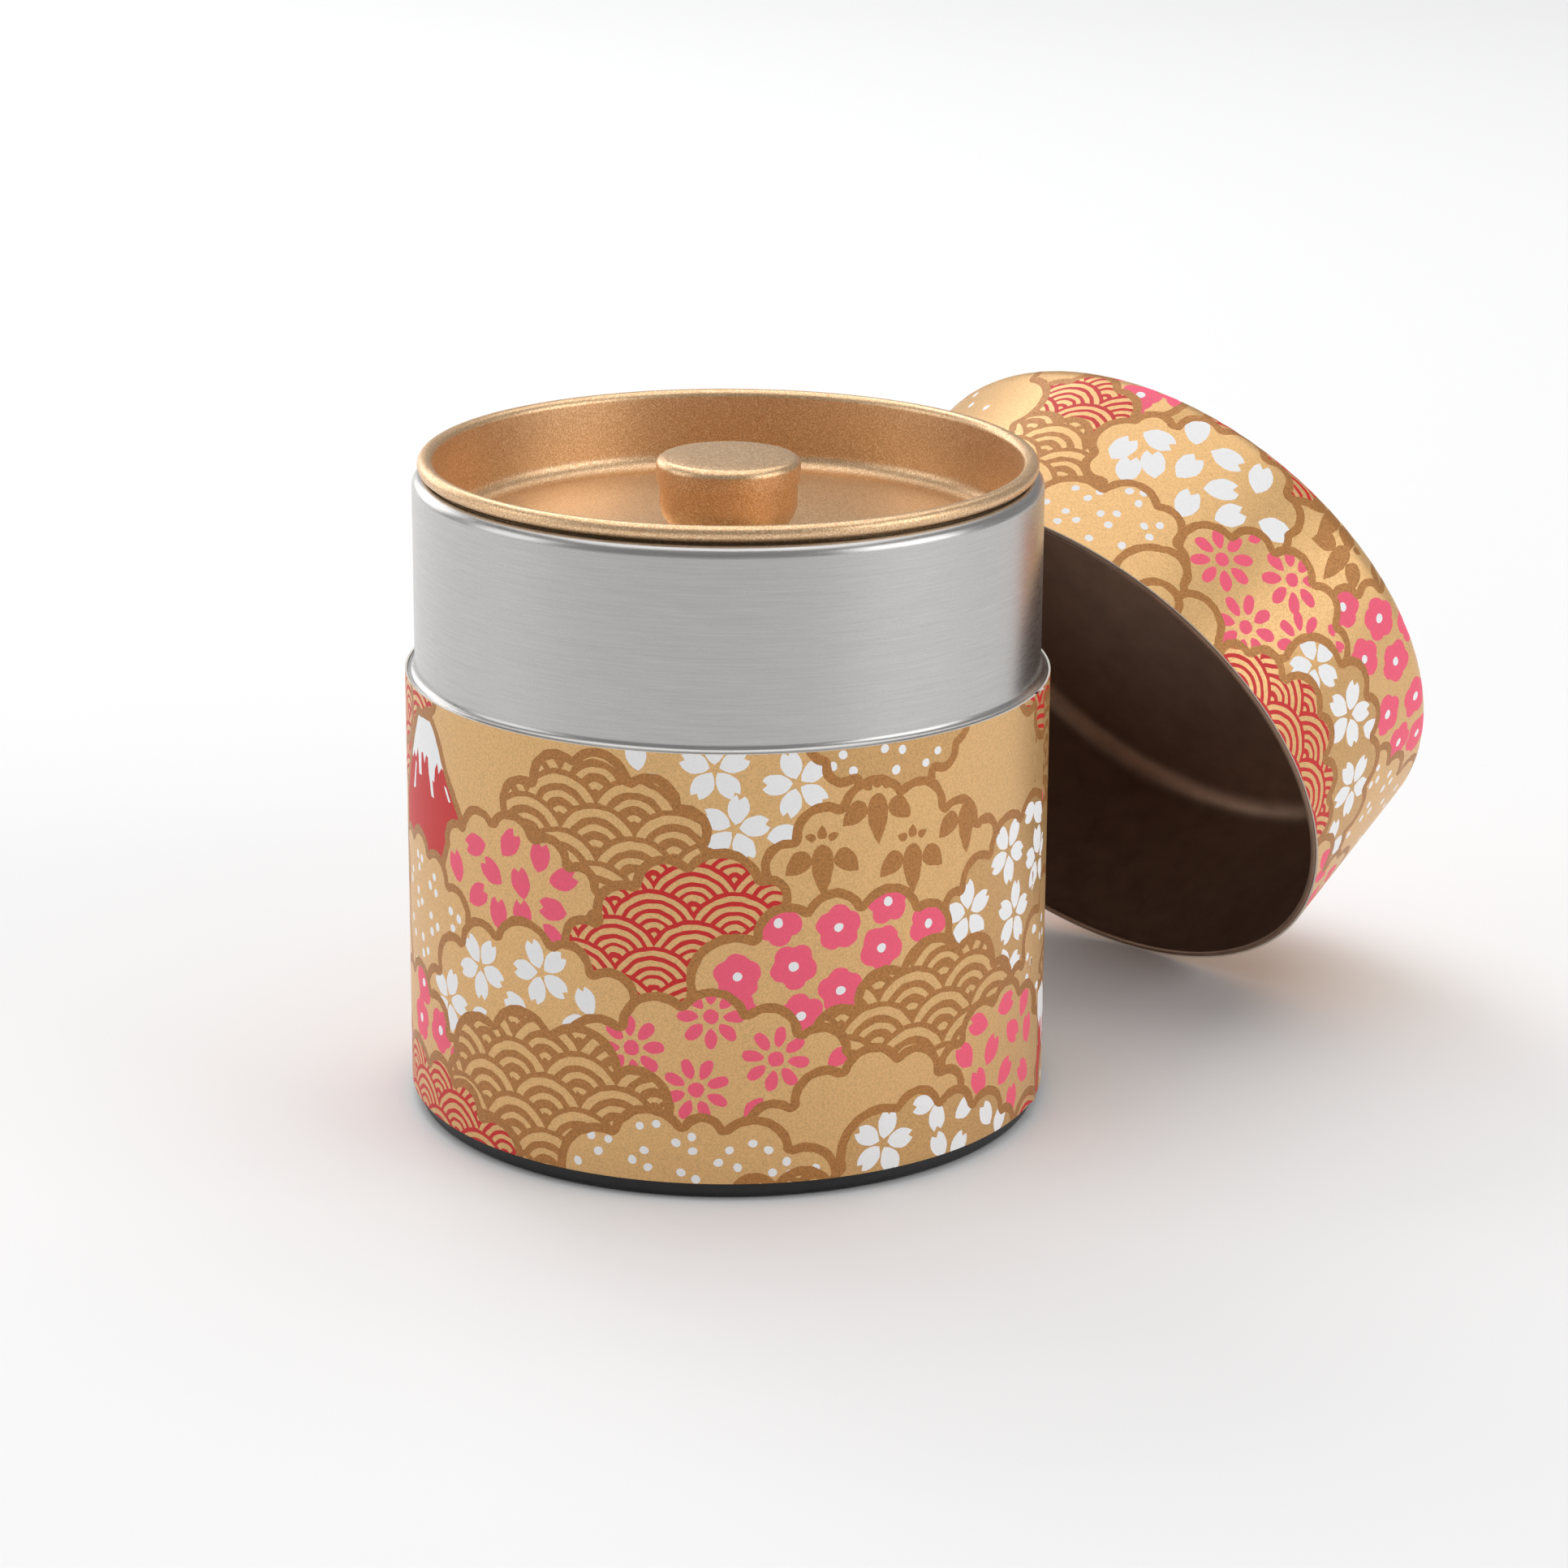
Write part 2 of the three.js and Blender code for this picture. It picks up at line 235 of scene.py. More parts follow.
def can_clouds():
    """The can's print, upper clouds first, because lower ones cover them."""
    return [
        cloud([(-68, 47), (-66, 57), (-55, 62), (-42.3, 57.5), (-45.2, 53.6), (-47, 48), (-58, 43)],
            waves=(RED, -49, 56.8)),
        cloud([(55, 64), (66, 57), (62, 47), (53, 49.5), (48.3, 54), (43, 58)], waves=(RED, 55, 57.6)),
        mount_fuji((-46, 54.3)),
        cloud([(31.3, 60), (30.6, 53.8), (26.9, 51.3), (22, 48), (15.6, 51.5), (11.6, 54),
            (10.6, 60)], DEEP, dots((14.2, 55.1), (13, 53.8), (15.5, 53), (19.6, 55.2), (22, 54.8),
            (27.2, 53.8), (25.4, 52.6), (21.2, 52.4))),
        cloud([(-29, 45.5), (-24.4, 50.6), (-18.4, 54.2), (-11, 52.4), (-4.9, 49.6), (-1.8, 44.5), (0, 37),
            (-10, 33), (-22, 35)], waves=(INK, -15.3, 48.9)),
        cloud([(4.7, 40.5), (8.1, 45.3), (13.9, 49), (22, 50.3), (28.6, 47), (34.3, 43.8), (38.5, 41),
            (36, 33), (20, 29), (5, 34)], motifs=[part for at in ((18.7, 49.9), (11.7, 44.3), (23.6, 43),
            (32, 46.4)) for part in bamboo(at)]),
        cloud([(-40.3, 38.9), (-36.5, 42.4), (-30.6, 44.3), (-23.8, 43.6), (-18.8, 41), (-15, 38.5),
            (-15.6, 34.5), (-17, 28), (-34, 27)], motifs=petals(PINK, [(-33.7, 40.3, 195),
            (-27.7, 41.8, 55), (-23, 41, 80), (-19.8, 38.8, 20), (-37.6, 36.6, 110), (-30.7, 37.6, 145),
            (-25.9, 37.2, 105), (-33.4, 34, 35), (-29.7, 32.6, 90), (-25.7, 33.2, 100), (-21.2, 34.8, 175),
            (-21.3, 31.2, 150)])),
        cloud([(-20, 31), (-15.6, 34.6), (-10.8, 39.6), (-4.2, 42.4), (4.6, 40.8), (8, 37.5), (6, 30),
            (-4, 24), (-10, 23.5), (-17, 26)], waves=(RED, -8.2, 39.0)),
        cloud([(-60, 26), (-58, 33), (-51.8, 37), (-45.3, 36.4), (-39.7, 33.9), (-34.9, 29.8), (-36, 22),
            (-45, 16), (-56, 18)], motifs=dots((-52, 38.3), (-49.7, 34.7), (-48, 34.6), (-49.2, 33.2),
            (-43.7, 33.5), (-45, 32.1), (-43.2, 31.6), (-39.3, 30.4), (-37.4, 29.9), (-38.8, 28.4),
            (-49.8, 30), (-48.2, 29), (-50, 28.2), (-44.9, 28.2), (-42.9, 27.3), (-44.7, 26.2),
            (-48, 24.5), (-46.2, 23.2), (-47.9, 22.4), (-53, 25.5), (-51.7, 23.9), (-51.4, 20.3),
            (-53.3, 30.5), (-52.7, 31.8))),
        cloud([(28.4, 33.5), (31.2, 36), (36.6, 39.2), (44.4, 41.9), (53, 40.7), (60, 36), (60, 26),
            (44, 19), (36, 22), (29, 27)], DEEP, motifs=cherry((41.2, 38), -15) + cherry((50.5, 34.5), 22)
            + cherry((43, 29.5), 10) + cherry((32.8, 32.3), 22) + petals(WHITE, [(47.5, 41.2, 185),
            (50.5, 40.4, -35), (40.6, 23.8, 120), (43.2, 23, 35)], 3.7)),
        cloud([(-4.2, 26.5), (3.5, 33.5), (9.9, 36.7), (16.8, 36.7), (24.7, 35.4), (29.9, 30.5), (27, 22),
            (12, 19), (2, 21)], motifs=many(plum, [(13.9, 33.9), (8.4, 29.5), (1.7, 28.5), (19.5, 30.6),
            (14.2, 26), (6.5, 35), (20.3, 36.3), (26.2, 32.5), (9.3, 23.2), (1.5, 24)])),
        cloud([(-46.5, 17.5), (-42.8, 22.3), (-37, 27.6), (-30.1, 30.2), (-21.4, 30.7), (-15.8, 28),
            (-10, 25), (-12, 17), (-25, 14), (-40, 12)], motifs=cherry((-33, 25.1), 55)
            + cherry((-23, 26.6), 40) + cherry((-40, 18.9), 0) + petals(WHITE, [(-16.8, 24, 110),
            (-18.6, 20.7, 30), (-27, 21.8, 160), (-33.5, 18.4, 20)], 3.7)),
        cloud([(10.5, 20), (15.9, 23.9), (22.2, 27.7), (31.2, 28.8), (38.4, 25), (42.5, 20.5), (38, 14),
            (25, 12), (14, 13)], waves=(INK, 28.7, 23.9)),
        cloud([(42, 20.8), (45.8, 22.4), (51.3, 28.2), (58, 31), (62, 24), (60, 14), (50, 11), (45, 15)],
            motifs=dots((50, 25.3), (47.7, 22.4), (49.2, 21.4), (47.6, 19.7), (51.2, 17.6), (53.5, 17.2),
            (53, 19), (53.5, 23.3), (55.5, 23.2), (54.7, 25.3))),
        cloud([(-60, 14), (-53, 19.3), (-45.2, 18.5), (-40, 14.5), (-36.3, 11), (-40, 3), (-55, 3)],
            motifs=many(plum, [(-49.3, 13.5), (-42.5, 14), (-48, 18.5), (-37.5, 10.7)])),
        cloud([(-20, 17.5), (-12.6, 22), (-4.9, 25.2), (2.9, 24.2), (9.4, 21.4), (15.6, 18.5), (12, 8),
            (-2, 5), (-12, 8), (-18, 12)], motifs=daisy((-11, 19), 5) + daisy((-3.2, 14.2), 20)
            + daisy((-1.4, 23.5), 0) + daisy((6.3, 18), 35) + petals(PINK, [(3.8, 11.8, 35),
            (14, 17.6, 30)], 3.2)),
        cloud([(-39, 12.2), (-30.8, 18.6), (-21.8, 19.4), (-12.3, 16.5), (-6, 10.5), (-8, 1), (-20, -4),
            (-34, -4), (-39, 6)], waves=(INK, -22.5, 14.0)),
        mount_fuji((55.5, 17.5), 0.9),
        cloud([(28.3, 13), (31.6, 16.5), (38.2, 20), (45.3, 19.2), (51, 15), (52, 6), (46, -1), (36, -1),
            (29, 6)], motifs=petals(PINK, [(35.3, 17.4, 160), (41.3, 18.3, 10), (32.7, 14, 125),
            (38, 13.3, 60), (43.2, 14.3, -40), (48, 13, 90), (46.7, 17, 60), (35.5, 9.8, 110),
            (41.3, 9.5, 40), (46.9, 7.8, 140), (43.3, 5.2, 90)])),
        cloud([(2.5, 9.5), (8.1, 12.3), (14.4, 16.1), (22, 16.8), (28.5, 13.6), (32.5, 9.5), (28, 1),
            (8, 1)]),
        cloud([(-58, 5), (-46.4, 9), (-39, 8.7), (-33, 6), (-26, 1.5), (-35, -6), (-55, -6)],
            waves=(RED, -43.4, 10.9)),
        cloud([(-20.5, 1), (-13.6, 8.7), (-4.9, 9.9), (0.2, 9.6), (8.4, 6.9), (14.2, 1.5), (5, -7),
            (-15, -7)], motifs=dots((-16.2, 7.2), (-14, 7), (-15.3, 5.3), (-10, 9.2), (-8, 9.6),
            (-9.5, 6.1), (-11, 4.8), (-9, 4), (-5.6, 7.4), (-3.7, 8.2), (-3.6, 6.4), (-18, 3.6), (-5, 3.6),
            (-3.2, 2.8), (-0.5, 5), (0.8, 6.6), (3.6, 7.4), (5.5, 6.5), (1.8, 4.4), (7.7, 4.9), (6, 3.6),
            (8, 3.3), (11.3, 3.8))),
        cloud([(14, 3.5), (21.8, 10.4), (28.5, 9.7), (34.4, 7.9), (41, 5.2), (44, 1), (30, -7),
            (16, -7)], DEEP, motifs=cherry((20, 5.7), 5) + petals(WHITE, [(26, 9.5, 185), (28, 7.4, -85),
            (32.7, 7.3, 30), (37.2, 5.2, 120), (28.5, 3.6, 115), (31.7, 2.8, 50), (40.2, 3.6, 60)], 3.6)),
        cloud([(0.8, 1.5), (6.3, 2.4), (13.5, 1.5), (7, -6)], waves=(INK, 6.3, 3.4)),
        cloud([(43.5, 1.5), (53, 2.5), (50, -6)], waves=(RED, 48.4, 4.2)),
    ]


def can_scatter():
    """Motifs printed on the open ground between the clouds."""
    return (cherry((-1, 54), 20) + cherry((1.3, 46.7), 8) + cherry((8.7, 52), 36)
            + petals(WHITE, [(-10.3, 55.2, 100), (-8, 51.8, 160), (6.9, 45.8, 10)], 3.6))


def lid_clouds():
    """The outer lid's print, from its closed end down to its mouth."""
    return [
        cloud([(-119, 20), (-125, 25), (-124, 35), (-116, 33), (-112, 24)], motifs=many(plum,
            [(-117, 26.3), (-112.4, 29.4), (-117.6, 22.9), (-122, 31)])),
        cloud([(-108, 27), (-104, 33), (-95, 35), (-88, 31), (-90, 25), (-100, 23)], waves=(RED, -98, 33)),
        cloud([(-132, 20), (-128, 26), (-120, 26.3), (-115.3, 20.3), (-119, 16), (-128, 14)],
            waves=(RED, -121, 22.3)),
        cloud([(-91.5, 21), (-90, 27), (-84, 31), (-77, 28), (-76, 22), (-80, 17)],
            motifs=bamboo((-82.5, 26.2)) + bamboo((-86.5, 29.5))),
        cloud([(-79.8, 18.5), (-77.6, 23.3), (-75.5, 27), (-70, 32), (-60, 34), (-50, 32), (-44, 27),
            (-46, 20), (-54, 14), (-66, 13), (-76, 14)], motifs=many(plum, [(-72.3, 24), (-65.5, 23.5),
            (-57.6, 25.5), (-50.7, 25.3), (-60, 19), (-77.7, 19.8), (-70, 18.5), (-53.5, 20.5), (-68, 29),
            (-62, 31)])),
        cloud([(-132, 14), (-124, 18.5), (-118.3, 16.2), (-114.8, 13.7), (-111.6, 9), (-118, 1),
            (-130, 1)], waves=(INK, -118, 14)),
        cloud([(-117, 14), (-115.4, 22.2), (-110.3, 24.2), (-105, 27.4), (-98, 27.8), (-92.8, 25.5),
            (-89, 20.5), (-92, 14), (-104, 10), (-113, 10)], motifs=petals(WHITE, [(-110.7, 20.6, 0),
            (-113.8, 16.7, 85), (-109, 16.6, 125), (-105.2, 19, 85), (-111.2, 14, 110),
            (-107.4, 24.8, 115), (-102, 23.5, 10), (-97, 24, 110), (-100, 19, 40), (-97, 16.5, 60),
            (-102.2, 14, 100), (-91.5, 19.5, 20)], 4.6)),
        cloud([(-57, 15.5), (-52.4, 18.4), (-46.9, 21.7), (-41, 27), (-34, 31), (-26, 26), (-22, 16),
            (-28, 6), (-44, 4), (-53, 10)], motifs=dots((-53.5, 15.3), (-51.4, 15.1), (-52, 13.4),
            (-49.2, 18.4), (-47, 19.1), (-47.6, 16.9), (-48, 13.2), (-46.2, 13.8), (-46.9, 11.5),
            (-43.5, 18), (-47, 8.2), (-42, 22), (-40, 20), (-38, 25), (-36, 22), (-39, 14), (-34, 17),
            (-31, 20), (-33, 12), (-30, 14))),
        cloud([(-100, 8), (-95.4, 14.6), (-89.8, 17.4), (-82.9, 18.7), (-76.6, 17.6), (-71.5, 14),
            (-76, 3), (-90, -2), (-99, 1)], motifs=daisy((-94.1, 10.5), 0, 4.4)
            + daisy((-85.5, 16), 45, 4.6) + daisy((-86.2, 5.6), 30, 4.5) + daisy((-79, 11), 10, 4.2)
            + petals(PINK, [(-92.7, 16.3, 60), (-76.8, 16.2, 10), (-74.4, 15.8, 10)], 1.9)),
        cloud([(-80, 7.5), (-72.8, 15), (-65.8, 16.8), (-59.5, 15.4), (-52.8, 12.3), (-48.4, 7.3),
            (-44.5, 1), (-55, -3), (-75, -3)], DEEP, motifs=cherry((-66, 12), -12, 4.5)
            + cherry((-56, 9), 45, 4.4) + cherry((-75.5, 10.8), 20, 4.5) + petals(WHITE, [(-61, 15, 40),
            (-52, 3.8, 150), (-48.2, 5, 40)], 3.9)),
        cloud([(-54, 1), (-46.2, 2.8), (-44.4, 7), (-37, 9.3), (-29, 6), (-33, -5), (-46, -5)],
            motifs=petals(PINK, [(-48.5, 2.1, 20), (-45.5, 1.7, 60), (-41, 5.5, 30), (-37, 4, 110),
            (-40.5, 1.2, 170), (-33.5, 5.5, 70)])),
        cloud([(-119.5, 3), (-112.2, 9.8), (-104.8, 11.8), (-99.5, 8.5), (-97, 2), (-105, -5), (-116, -5)],
            motifs=dots((-115.1, 7.7), (-112.1, 8.7), (-112.8, 7), (-109, 11), (-107.4, 11.8), (-107, 10),
            (-108.3, 6.9), (-110, 5.7), (-108.2, 4.7), (-117, 3.8), (-113.9, 3.6), (-112, 3),
            (-113.9, 1.6), (-109, 1.4), (-103, 8.8), (-104.5, 7.4), (-103, 6.4), (-105, 3), (-103.2, 1.9))),
        cloud([(-101, 6.5), (-95.2, 3.9), (-97, -4), (-102, -4)]),
        cloud([(-95.4, 3.2), (-87.3, 1.4), (-90, -4)]),
        cloud([(-100.5, -0.5), (-94.3, 1.6), (-97, -4)]),
        cloud([(-87, -0.5), (-84, 3.8), (-77.9, 5.8), (-70, 8), (-64.3, 5.7), (-58.5, 4.2), (-53.5, 0),
            (-60, -5), (-80, -5)], waves=(RED, -82, 4)),
    ]


# ---- Painting: which ink a point of the flat paper has ----


def moved(item, dx, dz):
    """A copy of a cloud, shifted on the paper."""
    waves = item["waves"] and (item["waves"][0], item["waves"][1] + dx, item["waves"][2] + dz)
    return {
        "cusps": [(x + dx, z + dz) for x, z in item["cusps"]],
        "ground": item["ground"],
        "motifs": [(ink, shape + (dx, dz)) for ink, shape in item["motifs"]],
        "waves": waves,
        "smooth": item["smooth"],
    }


def repeated(clouds, shifts):
    """The print repeats along the paper; at each level the first copies lie under the later ones."""
    return [moved(item, dx, dz) for item in clouds for dx, dz in shifts]


def outline_of(item):
    """The cloud's edge as one closed polyline, with the line inside it that ends the dark band."""
    cusps = item["cusps"]
    edge, inner = [], []
    for a, b in zip(cusps, cusps[1:] + cusps[:1]):
        if item["smooth"]:
            length = math.dist(a, b)
            points = np.linspace(a, b, max(2, round(length / STEP)), endpoint=False)
            left = np.array([-(b[1] - a[1]), b[0] - a[0]]) / length
            inner.append(points - left * BAND)
        else:
            points, centre, radius, start, sweep = bulged(a, b)
            turn = start + sweep * np.linspace(0, 1, len(points) + 1)
            inner.append(centre + (radius - BAND) * np.column_stack([np.cos(turn), np.sin(turn)]))
        edge.append(points)
    rounds = [circle(cusp, BAND, 20) for cusp in cusps]
    return np.vstack(edge), inner, rounds


def in_polygon(points, polygon):
    """Whether each point lies inside, by the number of edges to its right."""
    x, y = points[:, 0][:, None], points[:, 1][:, None]
    x0, y0 = polygon[:, 0], polygon[:, 1]
    x1, y1 = np.roll(x0, -1), np.roll(y0, -1)
    crosses = (y0 > y) != (y1 > y)
    rise = np.where(y1 == y0, 1e-12, y1 - y0)
    return (crosses & (x < (x1 - x0) * (y - y0) / rise + x0)).sum(1) % 2 == 1


def distance_to(points, polygon):
    """How far each point lies from the nearest edge."""
    a = polygon
    ab = np.roll(a, -1, 0) - a
    size = np.maximum((ab ** 2).sum(1), 1e-12)
    ap = points[:, None] - a[None]
    t = np.clip((ap * ab).sum(2) / size, 0, 1)
    return np.sqrt(((ap - t[..., None] * ab) ** 2).sum(2).min(1))


def near_box(points, shape):
    """Which points lie in the box round a shape."""
    return np.flatnonzero(((points >= shape.min(0)) & (points <= shape.max(0))).all(1))


# Ends of the gold rings inside a wave scale, as shares of its radius, for each ink.
RINGS = {
    RED: ((0.905, 0.795), (0.7, 0.585), (0.49, 0.39), (0.31, 0.19), (0.08, 0.0)),
    INK: ((0.88, 0.7), (0.54, 0.41), (0.22, 0.1)),
}


def wave_ink(points, waves):
    """Scales in rows, each row in front of the one above it and half a scale to the side."""
    ink, x0, z0 = waves
    result = np.full(len(points), ink)
    settled = np.zeros(len(points), bool)
    lowest, highest = points[:, 1].min(), points[:, 1].max()
    first = math.floor((lowest - z0) / WAVE_RISE)
    last = math.ceil((highest + 2 * WAVE_R - z0) / WAVE_RISE)
    for row in range(first, last + 1):
        top = z0 + row * WAVE_RISE
        shift = (row % 2) * WAVE_WIDTH / 2
        column = np.round((points[:, 0] - x0 - shift) / WAVE_WIDTH)
        centre_x = x0 + shift + column * WAVE_WIDTH
        r = np.hypot(points[:, 0] - centre_x, points[:, 1] - (top - WAVE_R)) / WAVE_R
        here = (r < 1) & ~settled
        gold = np.zeros(len(points), bool)
        for outer, inner in RINGS[ink]:
            gold |= (r < outer) & (r >= inner)
        result[here & gold] = GOLD
        settled |= here
    return result


def wave_curves(waves, low, high):
    """Arcs that end the rings of every scale between two corners of the paper."""
    ink, x0, z0 = waves
    curves = []
    lowest = math.floor((low[1] - z0) / WAVE_RISE)
    highest = math.ceil((high[1] + 2 * WAVE_R - z0) / WAVE_RISE)
    for row in range(lowest, highest + 1):
        shift = (row % 2) * WAVE_WIDTH / 2
        first = math.floor((low[0] - x0 - shift) / WAVE_WIDTH)
        last = math.ceil((high[0] - x0 - shift) / WAVE_WIDTH)
        for column in range(first, last + 1):
            centre = np.array([x0 + shift + column * WAVE_WIDTH, z0 + row * WAVE_RISE - WAVE_R])
            for share in [1.0] + [end for ring in RINGS[ink] for end in ring if end > 0]:
                count = max(6, round(math.pi * share * WAVE_R / STEP))
                turn = np.linspace(math.radians(-30), math.radians(210), count)
                curves.append(centre + share * WAVE_R * np.column_stack([np.cos(turn), np.sin(turn)]))
    return curves


def paint_motifs(points, chosen, inks, motifs):
    """Gives the chosen points the ink of the last motif that holds them."""
    spots = points[chosen]
    for ink, shape in motifs:
        near = near_box(spots, shape)
        if len(near):
            near = near[in_polygon(spots[near], shape)]
            inks[chosen[near]] = ink


def inks_at(points, clouds, scatter, ground):
    """Starts with the frontmost cloud, so that each point is settled by the first cloud that holds it."""
    inks = np.full(len(points), ground)
    open_points = np.arange(len(points))
    for item in reversed(clouds):
        near = open_points[near_box(points[open_points], item["edge"])]
        if not len(near):
            continue
        near = near[in_polygon(points[near], item["edge"])]
        if not len(near):
            continue
        inks[near] = INK
        open_points = np.setdiff1d(open_points, near, assume_unique=True)
        core = near[distance_to(points[near], item["edge"]) > BAND]
        if not len(core):
            continue
        inks[core] = item["ground"]
        if item["waves"]:
            inks[core] = wave_ink(points[core], item["waves"])
        paint_motifs(points, core, inks, item["motifs"])
    paint_motifs(points, open_points, inks, scatter)
    return inks


def inks_in_parts(points, clouds, scatter, ground, size=20000):
    """The inks of many points, some thousands at a time to spare memory."""
    parts = [inks_at(points[i:i + size], clouds, scatter, ground) for i in range(0, len(points), size)]
    return np.concatenate(parts)


def clipped(a, b, low, high):
    """The parts of segments a to b that lie between two corners."""
    for axis in (0, 1):
        for bound, side in ((low[axis], 1), (high[axis], -1)):
            da, db = side * (a[:, axis] - bound), side * (b[:, axis] - bound)
            keep = (da > 0) | (db > 0)
            a, b, da, db = a[keep], b[keep], da[keep], db[keep]
            t = np.clip(da / np.where(da == db, 1, da - db), 0, 1)[:, None]
            cut = lerp(a, b, t)
            a, b = np.where((da < 0)[:, None], cut, a), np.where((db < 0)[:, None], cut, b)
    return a, b


def drawn_lines(clouds, scatter, ground, low, high):
    """Short segments of every curve where the ink changes from one side to the other."""
    curves = [(shape, True) for _, shape in scatter]
    seen = []
    for item in clouds:
        edge, inner, rounds = outline_of(item)
        item["edge"] = edge
        box_low, box_high = np.maximum(edge.min(0), low), np.minimum(edge.max(0), high)
        if (box_low >= box_high).any():
            continue
        seen.append(item)
        curves.append((edge, True))
        curves += [(line, False) for line in inner]
        curves += [(line, True) for line in rounds]
        curves += [(shape, True) for _, shape in item["motifs"]]
        if item["waves"]:
            curves += [(line, False) for line in wave_curves(item["waves"], box_low, box_high)]
    starts, ends = [], []
    for line, closed in curves:
        if closed:
            line = np.vstack([line, line[:1]])
        starts.append(line[:-1])
        ends.append(line[1:])
    a, b = clipped(np.vstack(starts), np.vstack(ends), low, high)
    span = b - a
    length = np.hypot(span[:, 0], span[:, 1])
    keep = length > 1e-3
    a, b, span, length = a[keep], b[keep], span[keep], length[keep]
    side = np.column_stack([-span[:, 1], span[:, 0]]) / length[:, None] * PROBE
    changes = np.zeros(len(a), bool)
    for share in PROBES:
        middle = lerp(a, b, share)
        left = inks_in_parts(middle + side, seen, scatter, ground)
        right = inks_in_parts(middle - side, seen, scatter, ground)
        changes |= left != right
    return a[changes], b[changes], seen


# ---- Meshes ----


def rectangle_ring(low, high, spacing):
    """Points round a rectangle, anticlockwise."""
    across = max(2, round((high[0] - low[0]) / spacing))
    up = max(2, round((high[1] - low[1]) / spacing))
    x, z = np.linspace(low[0], high[0], across + 1), np.linspace(low[1], high[1], up + 1)
    bottom = np.column_stack([x[:-1], np.full(across, low[1])])
    right = np.column_stack([np.full(up, high[0]), z[:-1]])
    top = np.column_stack([x[:0:-1], np.full(across, high[1])])
    left = np.column_stack([np.full(up, low[0]), z[:0:-1]])
    return np.vstack([bottom, right, top, left])


def triangulated(points, edges):
    """Triangles between flat points, all anticlockwise, that keep the given edges."""
    found = delaunay_2d_cdt([Vector(p) for p in points.tolist()], edges, [], 0, 1e-4)
    vertices = np.array([(v.x, v.y) for v in found[0]])
    faces = np.array([list(face) for face in found[2]])
    a, b, c = (vertices[faces[:, k]] for k in range(3))
    area = (b[:, 0] - a[:, 0]) * (c[:, 1] - a[:, 1]) - (b[:, 1] - a[:, 1]) * (c[:, 0] - a[:, 0])
    faces[area < 0] = faces[area < 0][:, ::-1]
    return vertices, faces[np.abs(area) > 1e-7]


def printed_sheet(name, ring, lattice, low, high, place, clouds, scatter, ground, materials, wobble=0.09):
    """A papered surface: the print cut into the outer face's mesh, raw edges, and a plain inner face.

    place(points, depth) gives where points of the flat paper lie, so many millimetres under its face."""
    a, b, clouds = drawn_lines(clouds, scatter, ground, low, high)
    count = len(ring)
    points = np.vstack([ring, lattice, a, b])
    edges = [(i, (i + 1) % count) for i in range(count)]
    first = count + len(lattice)
    edges += [(first + i, first + len(a) + i) for i in range(len(a))]
    flat, faces = triangulated(points, edges)
    middle = flat[faces].mean(1)
    inside = in_polygon(middle, ring)
    faces, middle = faces[inside], middle[inside]
    used, faces = np.unique(faces, return_inverse=True)
    flat, faces = flat[used], faces.reshape(-1, 3)
    inks = inks_in_parts(middle, clouds, scatter, ground)
    flat = flat + hand_wobble(flat, low, high, wobble)
    lines = np.sort(np.vstack([faces[:, [0, 1]], faces[:, [1, 2]], faces[:, [2, 0]]]), axis=1)
    _, where, times = np.unique(lines, axis=0, return_inverse=True, return_counts=True)
    directed = np.vstack([faces[:, [0, 1]], faces[:, [1, 2]], faces[:, [2, 0]]])
    rim = directed[times[where.ravel()] == 1]
    rim_points = np.unique(rim)
    lower = {int(v): len(flat) + i for i, v in enumerate(rim_points)}
    inner_flat = np.vstack([flat[rim_points], lattice])
    rank = {int(v): i for i, v in enumerate(rim_points)}
    under_flat, under_faces = triangulated(inner_flat, [(rank[int(p)], rank[int(q)]) for p, q in rim])
    if len(under_flat) != len(inner_flat):
        raise RuntimeError(name + ": the inner face doesn't meet the paper's edge")
    keep = in_polygon(under_flat[under_faces].mean(1), ring)
    under_faces = under_faces[keep]
    vertices = np.vstack([place(flat, 0.0), place(under_flat, PAPER)])
    polygons = faces.tolist()
    slots = inks.tolist()
    for p, q in rim.tolist():
        polygons.append([q, p, lower[p], lower[q]])
        slots.append(EDGE)
    offset = len(flat)
    for face in under_faces.tolist():
        polygons.append([offset + v for v in reversed(face)])
        slots.append(EDGE)
    normal = unit(place(flat, -0.05) - place(flat, 0.05))
    mesh = bpy.data.meshes.new(name)
    mesh.from_pydata((vertices * MM).tolist(), [], polygons)
    for material in materials:
        mesh.materials.append(material)
    mesh.polygons.foreach_set("material_index", slots)
    mesh.shade_smooth()
    corner_vertex = np.zeros(len(mesh.loops), np.int32)
    mesh.loops.foreach_get("vertex_index", corner_vertex)
    face_normal = np.zeros(len(mesh.polygons) * 3)
    mesh.polygons.foreach_get("normal", face_normal)
    face_normal = face_normal.reshape(-1, 3)
    sizes = np.array([len(p) for p in polygons])
    corner_face = np.repeat(np.arange(len(polygons)), sizes)
    normals = face_normal[corner_face]
    outer = corner_face < len(faces)
    normals[outer] = normal[corner_vertex[outer]]
    mesh.normals_split_custom_set(normals.tolist())
    piece = bpy.data.objects.new(name, mesh)
    bpy.context.scene.collection.objects.link(piece)
    return piece


def unit(v):
    return v / np.linalg.norm(v, axis=-1, keepdims=True)


